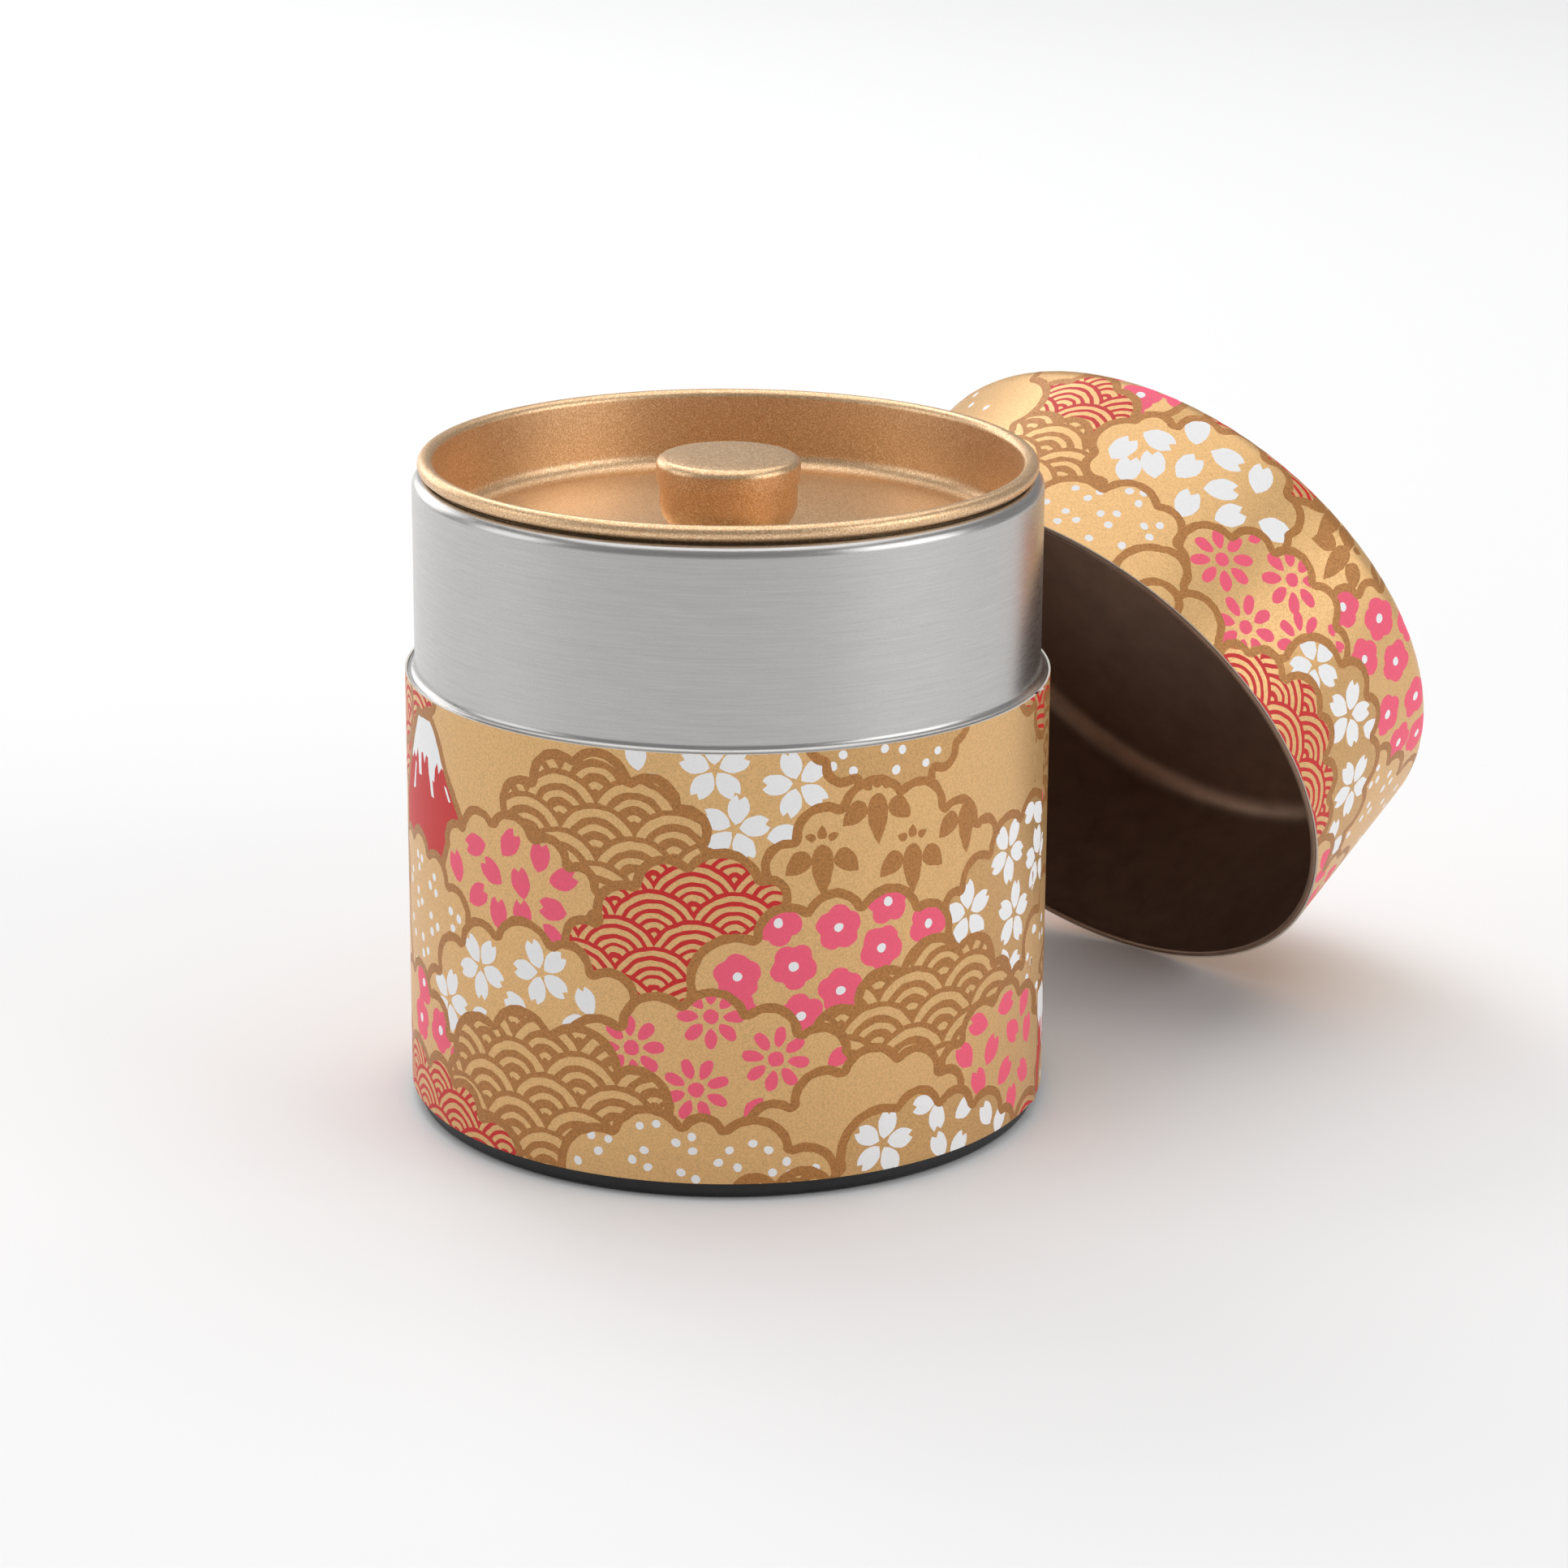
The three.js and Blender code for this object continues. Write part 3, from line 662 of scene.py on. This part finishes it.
def hand_wobble(points, low, high, size):
    """The stencil's slight unevenness, which dies out at the paper's edges."""
    x, z = points[:, 0], points[:, 1]
    fade = np.minimum.reduce([x - low[0], high[0] - x, z - low[1], high[1] - z]).clip(0, 1.5) / 1.5
    dx = np.sin(x * 2.1 + 1.7 * np.sin(z * 1.3)) + 0.6 * np.sin(z * 3.7 + x * 0.9)
    dz = np.sin(z * 2.3 + 1.5 * np.sin(x * 1.1)) + 0.6 * np.sin(x * 3.9 - z * 0.7)
    return size * 0.5 * np.column_stack([dx, dz]) * fade[:, None]


def grid(low, high, spacing):
    """Plain points of a surface, alternate rows moved sideways, clear of the edges."""
    rows = max(1, round((high[1] - low[1]) / spacing))
    columns = max(1, round((high[0] - low[0]) / spacing))
    x = low[0] + (np.arange(columns) + 0.25) * (high[0] - low[0]) / columns
    z = low[1] + (np.arange(rows) + 0.5) * (high[1] - low[1]) / rows
    gx, gz = np.meshgrid(x, z)
    gx = gx + 0.5 * (np.arange(rows) % 2)[:, None] * (high[0] - low[0]) / columns
    return np.column_stack([gx.ravel(), gz.ravel()])


def arc(x, z, radius, start, end, steps=8):
    """Points of an arc in a section, between two angles in degrees."""
    turns = [math.radians(t) for t in np.linspace(start, end, steps + 1)]
    return [(x + radius * math.cos(t), z + radius * math.sin(t)) for t in turns]


def beside(path, distance):
    """The same path moved to its left."""
    path = np.array(path, float)
    step = unit(np.diff(path, axis=0))
    left = np.column_stack([-step[:, 1], step[:, 0]])
    before, after = np.vstack([left[:1], left]), np.vstack([left, left[-1:]])
    mitre = before + after
    return path + mitre * (2 * distance / (mitre ** 2).sum(1))[:, None]


def sheet(path, thickness):
    """The closed section of a sheet that follows a path."""
    return np.vstack([path, beside(path, thickness)[::-1]])


def turned(name, section, material, segments=ROUND, matrix=None):
    """A closed section turned round the Z axis."""
    section = np.array(section, float)
    x, z = section[:, 0], section[:, 1]
    area = (x * np.roll(z, -1) - np.roll(x, -1) * z).sum()
    if area > 0:
        section = section[::-1]
    on_axis = section[:, 0] < ON_AXIS
    turn = 2 * np.pi * np.arange(segments) / segments
    vertices, rows = [], []
    for (r, h), axis in zip(section, on_axis):
        if axis:
            rows.append([len(vertices)] * segments)
            vertices.append((0, 0, h))
        else:
            rows.append(list(range(len(vertices), len(vertices) + segments)))
            vertices += [(r * math.cos(t), r * math.sin(t), h) for t in turn]
    polygons = []
    for i in range(len(rows)):
        j = (i + 1) % len(rows)
        if on_axis[i] and on_axis[j]:
            continue
        for k in range(segments):
            n = (k + 1) % segments
            corners = [rows[i][k], rows[i][n], rows[j][n], rows[j][k]]
            polygons.append(list(dict.fromkeys(corners)))
    mesh = bpy.data.meshes.new(name)
    mesh.from_pydata((np.array(vertices) * MM).tolist(), [], [p[::-1] for p in polygons])
    mesh.materials.append(material)
    mesh.shade_smooth()
    mesh.set_sharp_from_angle(angle=SHARP)
    if matrix is not None:
        mesh.transform(matrix)
    piece = bpy.data.objects.new(name, mesh)
    bpy.context.scene.collection.objects.link(piece)
    return piece


# ---- Materials ----


def srgb(*display):
    """A display colour, three numbers from 0 to 255, as linear light."""
    shares = [c / 255 for c in display]
    return tuple(c / 12.92 if c <= 0.04045 else ((c + 0.055) / 1.055) ** 2.4 for c in shares) + (1.0,)


class Finish:
    """A material under construction, with short ways to add the nodes that this scene uses."""

    def __init__(self, name):
        self.material = bpy.data.materials.new(name)
        self.material.use_nodes = True
        self.tree = self.material.node_tree
        self.shader = self.tree.nodes["Principled BSDF"]
        self.coordinates = self.tree.nodes.new("ShaderNodeTexCoord").outputs["Object"]

    def set(self, **values):
        for name, value in values.items():
            self.shader.inputs[name.replace("_", " ")].default_value = value

    def link(self, a, b):
        self.tree.links.new(a, b)

    def noise(self, scale, detail=3.0, stretch=(1, 1, 1), roughness=0.5):
        mapping = self.tree.nodes.new("ShaderNodeMapping")
        mapping.inputs["Scale"].default_value = stretch
        self.link(self.coordinates, mapping.inputs["Vector"])
        node = self.tree.nodes.new("ShaderNodeTexNoise")
        node.inputs["Scale"].default_value = scale
        node.inputs["Detail"].default_value = detail
        node.inputs["Roughness"].default_value = roughness
        self.link(mapping.outputs["Vector"], node.inputs["Vector"])
        return node.outputs["Fac"]

    def ramp(self, value, stops):
        node = self.tree.nodes.new("ShaderNodeValToRGB")
        elements = node.color_ramp.elements
        while len(elements) < len(stops):
            elements.new(0.5)
        for element, (position, colour) in zip(elements, stops):
            element.position = position
            element.color = colour
        self.link(value, node.inputs["Fac"])
        return node.outputs["Color"]

    def roughness(self, value, low, high):
        """The roughness goes from low to high as a noise goes from its usual low to its usual high."""
        node = self.tree.nodes.new("ShaderNodeMapRange")
        node.inputs["From Min"].default_value = 0.3
        node.inputs["From Max"].default_value = 0.7
        node.inputs["To Min"].default_value = low
        node.inputs["To Max"].default_value = high
        self.link(value, node.inputs["Value"])
        self.link(node.outputs["Result"], self.shader.inputs["Roughness"])

    def bump(self, value, strength, distance, after=None):
        node = self.tree.nodes.new("ShaderNodeBump")
        node.inputs["Strength"].default_value = strength
        node.inputs["Distance"].default_value = distance
        self.link(value, node.inputs["Height"])
        if after is not None:
            self.link(after, node.inputs["Normal"])
        self.link(node.outputs["Normal"], self.shader.inputs["Normal"])
        return node.outputs["Normal"]

    def colour(self, output):
        self.link(output, self.shader.inputs["Base Color"])


def scaled(colour, factor):
    """A colour made lighter or darker, no brighter than white."""
    return tuple(min(1.0, c * factor) for c in colour[:3]) + (1.0,)


def printed(name, colour, metallic=0.0, roughness=0.5, grain=0.12, sparkle=0.0):
    """Ink or gold ground on washi: pigment grain, long fibres, and a soft tooth."""
    f = Finish(name)
    pigment = f.noise(4200, 2.0)
    dark, light = scaled(colour, 1 - grain), scaled(colour, 1 + grain * 0.7)
    f.colour(f.ramp(pigment, [(0.3, dark), (0.62, light)]))
    f.set(Metallic=metallic)
    if sparkle:
        f.roughness(f.noise(3100, 1.0), roughness - sparkle, roughness + sparkle)
    else:
        f.set(Roughness=roughness)
    fibres = f.bump(f.noise(900, 4.0, (1, 1, 1.6), 0.6), 0.35, 0.00006)
    f.bump(pigment, 0.3, 0.00003, fibres)
    return f.material


def washi_materials():
    """The papers' materials, in the order of GOLD to EDGE."""
    gold = {"metallic": 0.5, "sparkle": 0.08}
    return [
        printed("washi_gold", srgb(222, 178, 120), roughness=0.4, grain=0.14, **gold),
        printed("washi_deep_gold", srgb(206, 162, 106), roughness=0.42, grain=0.16, **gold),
        printed("washi_dark_gold_ink", srgb(176, 120, 62), 0.35, roughness=0.45, grain=0.24, sparkle=0.1),
        printed("washi_white_ink", srgb(246, 246, 247), roughness=0.6, grain=0.03),
        printed("washi_pink_ink", srgb(247, 92, 122), roughness=0.55, grain=0.06),
        printed("washi_red_ink", srgb(206, 18, 16), roughness=0.5, grain=0.08),
        printed("washi_raw_edge", srgb(236, 230, 220), roughness=0.8, grain=0.06),
    ]


def brushed_tin():
    """Tinplate brushed round the can."""
    f = Finish("brushed_tin")
    lines = f.noise(110, 3.0, (1, 1, 60), 0.6)
    fine = f.noise(300, 2.0, (1, 1, 40), 0.6)
    f.colour(f.ramp(lines, [(0.25, srgb(184, 182, 180)), (0.75, srgb(197, 195, 193))]))
    f.set(Metallic=1.0)
    f.roughness(fine, 0.25, 0.33)
    first = f.bump(lines, 0.10, 0.00002)
    f.bump(fine, 0.10, 0.00001, first)
    return f.material


def plain_tin(name, colour, roughness):
    f = Finish(name)
    f.colour(f.ramp(f.noise(120, 3.0, (1, 1, 6)), [(0.3, scaled(colour, 0.92)), (0.7, colour)]))
    f.set(Metallic=1.0)
    f.roughness(f.noise(700, 2.0), roughness - 0.04, roughness + 0.05)
    f.bump(f.noise(1500, 2.0, (1, 1, 4)), 0.15, 0.00001)
    return f.material


def lid_lining():
    """Satin dark lacquer that lines the outer lid."""
    f = Finish("lid_lining")
    f.colour(f.ramp(f.noise(260, 3.0), [(0.3, srgb(136, 113, 97)), (0.7, srgb(148, 124, 107))]))
    f.set(Metallic=0.85)
    f.set(**{"Specular IOR Level": 0.1})
    f.roughness(f.noise(2600, 2.0), 0.42, 0.52)
    f.bump(f.noise(3000, 2.0), 0.12, 0.00001)
    return f.material


def gold_lacquer():
    """Gold spray lacquer with fine flakes."""
    f = Finish("gold_lacquer")
    flakes = f.noise(5200, 1.0)
    f.colour(
        f.ramp(flakes, [(0.3, srgb(204, 164, 122)), (0.52, srgb(226, 188, 145)), (0.7, srgb(248, 220, 184))])
    )
    f.set(Metallic=0.9)
    f.roughness(f.noise(3600, 1.0), 0.3, 0.46)
    f.bump(f.noise(2300, 2.0), 0.22, 0.00002)
    return f.material


def black_lacquer():
    f = Finish("black_lacquer")
    f.colour(f.ramp(f.noise(400, 2.0), [(0.3, srgb(20, 20, 22)), (0.7, srgb(27, 27, 30))]))
    f.roughness(f.noise(1800, 2.0), 0.38, 0.5)
    f.bump(f.noise(2400, 2.0), 0.2, 0.00002)
    return f.material


def floor_material():
    f = Finish("studio_floor")
    f.set(Base_Color=(0.9, 0.9, 0.905, 1), Roughness=0.75)
    f.set(**{"Specular IOR Level": 0.2})
    return f.material


# ---- Pieces ----


def finished(piece, body, node):
    """Puts the piece on its body's empty, and hides the CAD node that it stands for."""
    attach(piece, body)
    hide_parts(node)
    return piece


LAP = 3.0  # the paper's end lies over its start
LAP_START, LAP_CLIMB = 2.2, 1.2  # back from the paper's end to where it starts to climb, and for how long
LAP_GAP = 0.01
CAN_SEAM = 49.0  # where the can's paper ends, along the paper from the front
LID_SEAM = 20.0  # the same on the lid


def lap_rise(s, end):
    """How far the end of the paper stands out where it climbs over its start."""
    t = ((s - (end - LAP_START)) / LAP_CLIMB).clip(0, 1)
    return (PAPER + LAP_GAP) * t * t * (3 - 2 * t)


def can_wrap(materials):
    low, high = (CAN_SEAM - AROUND, PAPER_Z[0]), (CAN_SEAM + LAP, PAPER_Z[1])

    def place(points, depth):
        turn = points[:, 0] / PAPER_R
        r = PAPER_R - depth + lap_rise(points[:, 0], high[0])
        return np.column_stack([r * np.sin(turn), -r * np.cos(turn), points[:, 1]])

    shifts = [(-176, 0), (-118, 0), (-AROUND, 0), (0, 0)]
    clouds = repeated(can_clouds(), shifts)
    scatter = [(ink, shape + (dx, 0)) for ink, shape in can_scatter() for dx, _ in shifts]
    ring = rectangle_ring(low, high, EDGE_STEP)
    plain = grid(low, high, LATTICE)
    return printed_sheet(
        "washi_round_the_can", ring, plain, low, high, place, clouds, scatter, GOLD, materials
    )


LID_MOUTH = Vector((
    LEAN_DISTANCE * math.cos(LEAN_BEARING),
    LEAN_DISTANCE * math.sin(LEAN_BEARING),
    PAPER_R * math.sin(LEAN_TILT),
))
LEAN = Matrix.Rotation(LEAN_AZIMUTH, 4, "Z") @ Matrix.Rotation(LEAN_TILT, 4, "Y")
LID_MATRIX = Matrix.Translation(LID_MOUTH * MM) @ LEAN


def lid_place(points):
    """Points round the lid's own axis, in millimetres, as the lid leans."""
    m = np.array(LID_MATRIX)
    return points @ m[:3, :3].T + m[:3, 3] / MM


BEND_START = PAPER_LID_TOP - LID_BEND
BEND_LENGTH = LID_BEND * math.pi / 2
PLEATS = 84
PLEAT_DEPTH = 0.07
PLEAT_REACH = 3.0  # how far in from the shoulder the pleats die out


def lid_wrap(materials):
    top = BEND_START + BEND_LENGTH + (PAPER_R - LID_BEND - TURNED_IN_R)
    low, high = (LID_SEAM - AROUND, 0.0), (LID_SEAM + LAP, top)

    def place(points, depth):
        s, v = points[:, 0], points[:, 1]
        turn = s / PAPER_R
        bend = ((v - BEND_START) / LID_BEND).clip(0, math.pi / 2)
        inwards = (v - BEND_START - BEND_LENGTH).clip(0, None)
        rise = lap_rise(s, high[0]) * np.cos(bend)
        folded = np.sin(bend) ** 3 * (1 - inwards / PLEAT_REACH).clip(0, 1)
        pleat = PLEAT_DEPTH * folded * np.abs(np.sin(turn * PLEATS / 2 + 0.6 * np.sin(turn * 5)))
        out = LID_BEND - depth + rise - pleat
        r = PAPER_R - LID_BEND + out * np.cos(bend) - inwards
        h = np.where(v < BEND_START, v, BEND_START + out * np.sin(bend))
        return lid_place(np.column_stack([r * np.cos(turn), r * np.sin(turn), h]))

    shifts = [(-108, 0), (108, 0), (0, 0)]
    clouds = repeated(lid_clouds(), shifts)
    ring = rectangle_ring(low, high, EDGE_STEP)
    side = grid(low, (high[0], BEND_START), LATTICE)
    shoulder = grid((low[0], BEND_START), high, FINE_LATTICE)
    plain = np.vstack([side, shoulder])
    return printed_sheet("washi_round_the_lid", ring, plain, low, high, place, clouds, [], DEEP, materials)


DISC_LATTICE = 2.0
DISC_MARGIN = 0.6  # the disc's plain points keep this far from its edge


def lid_disc(materials):
    reach = DISC_R + 0.1
    low, high = (-reach, -reach), (reach, reach)

    def place(points, depth):
        return lid_place(np.column_stack([points, np.full(len(points), LID_DEPTH - depth)]))

    shifts = [(-70, 26), (42, 26), (-6, 26), (-40, -30), (70, -30), (14, -30)]
    clouds = [moved(item, dx, dz) for dx, dz in shifts for item in can_clouds()]
    ring = circle((0, 0), DISC_R, 240)
    plain = grid(low, high, DISC_LATTICE)
    plain = plain[np.hypot(*plain.T) < DISC_R - DISC_MARGIN]
    return printed_sheet("washi_disc", ring, plain, low, high, place, clouds, [], GOLD, materials, wobble=0.0)


def build_can(washi):
    finished(can_wrap(washi), "can", "body_wrap")
    tube_top = 55.35
    tube = [(TIN_R - TIN, 2.3), (TIN_R, 2.3), (TIN_R, tube_top), (TIN_R - TIN, tube_top)]
    tube_tin = plain_tin("tube_tin", srgb(196, 192, 186), 0.4)
    finished(turned("can_tube", tube, tube_tin), "can", "body_tube")

    base = [(0, 0), (30.5, 0), *arc(31.2, 0.35, 0.35, -90, -60, 2), (31.6, 0.5), (32.4, 0.5),
        (33.1, 0.05), (33.6, 0), *arc(38.2, 1, 1, -90, 0), (39.2, 9)]
    finished(turned("base_pan", sheet(base, TIN), black_lacquer()), "can", "base_cap")

    roll = arc(37.3, 78.7, 1.5, 0, 90, 12)
    section = [(39.2, 44), (39.2, 55.4), (39.6, 55.4), (39.65, 55.45), (39.65, 55.68),
        *arc(39.65, 56.55, 0.85, -92, -180, 8), *roll, (36.9, 80.1), (36.9, 79.8),
        *arc(37.3, 78.7, 1.2, 90, 0, 12), (38.5, 55.7), (38.9, 55.4), (38.9, 44)]
    finished(turned("collar", section, brushed_tin()), "can", "collar_sleeve")


PANEL = 72.45  # height of the inner lid's flat panel
CROWN_TIN = 0.29  # thickness of the knob's cap


def build_inner_lid():
    gold = gold_lacquer()
    path = [(2.2, PANEL), *arc(32.8, 72.2, 0.25, 90, 40, 3), (33.4, 72.22), *arc(34.0, 74.4, 2.2, -90, 0, 14),
            *arc(37.15, 81.4, 0.95, 180, -100, 20)]
    finished(turned("dished_lid", sheet(path, -TIN), gold), "inner_lid", "inner_lid_dish")

    foot = PANEL + GLUE
    cup = [(2.2, foot), *arc(4.5, foot + 4, 4, -90, 0, 16), (8.5, 80.8)]
    finished(turned("knob_cup_wall", sheet(cup, TIN), gold, FINE), "inner_lid", "knob_cup")

    crown = [(0, 82.2), (3, 82.19), (6, 82.12), *arc(7.75, 80.9, 1.15, 80, 0, 10), (8.9, 79.1)]
    finished(
        turned("knob_crown", sheet(crown, -CROWN_TIN), gold, FINE), "inner_lid", "knob_cap"
    )

    rivet = [(3.8, 72.85), (2.3, 72.85), (2.1, 72.7), (2.1, 72.2), (2.3, 72.1), (3.8, 72.1)]
    rivet_tin = plain_tin("rivet_tin", srgb(190, 186, 180), 0.35)
    hollow_rivet = turned("hollow_rivet", sheet(rivet, -TIN), rivet_tin, 64)
    finished(hollow_rivet, "inner_lid", "knob_rivet")


def build_outer_lid(washi):
    finished(lid_wrap(washi), "outer_lid", "outer_lid_wrap")
    finished(lid_disc(washi), "outer_lid", "outer_lid_disc")
    bend = LID_BEND - PAPER - GLUE
    path = [(0, TIN_LID_TOP), *arc(TIN_R - bend, TIN_LID_TOP - bend, bend, 90, 0, 12),
            *arc(TIN_R - LID_BEAD, LID_BEAD - LID_LIP, LID_BEAD, 0, -230, 16)]
    shell = turned("outer_lid_tin", sheet(path, -TIN), lid_lining(), matrix=LID_MATRIX)
    finished(shell, "outer_lid", "outer_lid_shell")


# ---- Studio ----

LENS = 105.56
SENSOR = 36.0
CAMERA_PITCH = math.radians(17.089)
CAMERA_ROLL = math.radians(0.342)
CAMERA_TARGET = Vector((0.007043, 0.0, 0.039965))
CAMERA_DISTANCE = 0.57576


def add_camera():
    data = bpy.data.cameras.new("camera")
    data.lens = LENS
    data.sensor_width = SENSOR
    camera = bpy.data.objects.new("camera", data)
    bpy.context.scene.collection.objects.link(camera)
    look = Vector((0, math.cos(CAMERA_PITCH), -math.sin(CAMERA_PITCH)))
    camera.matrix_world = (
        Matrix.Translation(CAMERA_TARGET - CAMERA_DISTANCE * look)
        @ Matrix.Rotation(math.pi / 2 - CAMERA_PITCH, 4, "X")
        @ Matrix.Rotation(CAMERA_ROLL, 4, "Z")
    )
    bpy.context.scene.camera = camera


def add_area(name, at, target, size, power):
    """A rectangular softbox, in metres and watts."""
    data = bpy.data.lights.new(name, "AREA")
    data.shape = "RECTANGLE"
    data.size, data.size_y = size
    data.energy = power
    light = bpy.data.objects.new(name, data)
    light.location = at
    light.rotation_euler = (Vector(target) - Vector(at)).to_track_quat("-Z", "Y").to_euler()
    bpy.context.scene.collection.objects.link(light)


def add_floor():
    mesh = bpy.data.meshes.new("studio_floor")
    half = 6.0
    corners = [(-half, -half, 0), (half, -half, 0), (half, half, 0), (-half, half, 0)]
    mesh.from_pydata(corners, [], [(0, 1, 2, 3)])
    mesh.materials.append(floor_material())
    floor = bpy.data.objects.new("studio_floor", mesh)
    bpy.context.scene.collection.objects.link(floor)


def add_light():
    """Softboxes over, beside and behind the tin; the camera's side of the studio is dim."""
    bpy.context.scene.view_settings.view_transform = "Standard"
    world = bpy.data.worlds.new("studio")
    bpy.context.scene.world = world
    world.use_nodes = True
    nodes, links = world.node_tree.nodes, world.node_tree.links
    background = nodes["Background"]
    background.inputs["Color"].default_value = (0.32, 0.32, 0.32, 1)
    backdrop = nodes.new("ShaderNodeBackground")
    backdrop.inputs["Color"].default_value = (0.94, 0.94, 0.95, 1)
    rays = nodes.new("ShaderNodeLightPath")
    mix = nodes.new("ShaderNodeMixShader")
    links.new(rays.outputs["Is Camera Ray"], mix.inputs["Fac"])
    links.new(background.outputs["Background"], mix.inputs[1])
    links.new(backdrop.outputs["Background"], mix.inputs[2])
    links.new(mix.outputs["Shader"], nodes["World Output"].inputs["Surface"])
    add_area("top", (0.0, 0.4, 2.2), (0, 0, 0), (3.2, 3.0), 41)
    add_area("left_back", (-0.95, 1.15, 0.5), (0, 0, 0.05), (1.0, 0.8), 5)
    add_area("left", (-1.4, -0.15, 0.5), (0, 0, 0.04), (0.9, 0.8), 3)
    add_area("right", (1.25, -0.5, 0.5), (0, 0, 0.04), (1.1, 0.8), 6)
    add_area("glint", (-0.3, 0.75, 0.75), (0.04, 0.04, 0.06), (0.4, 0.3), 1.2)


add_camera()
add_floor()
add_light()
paper_inks = washi_materials()
build_can(paper_inks)
build_inner_lid()
build_outer_lid(paper_inks)
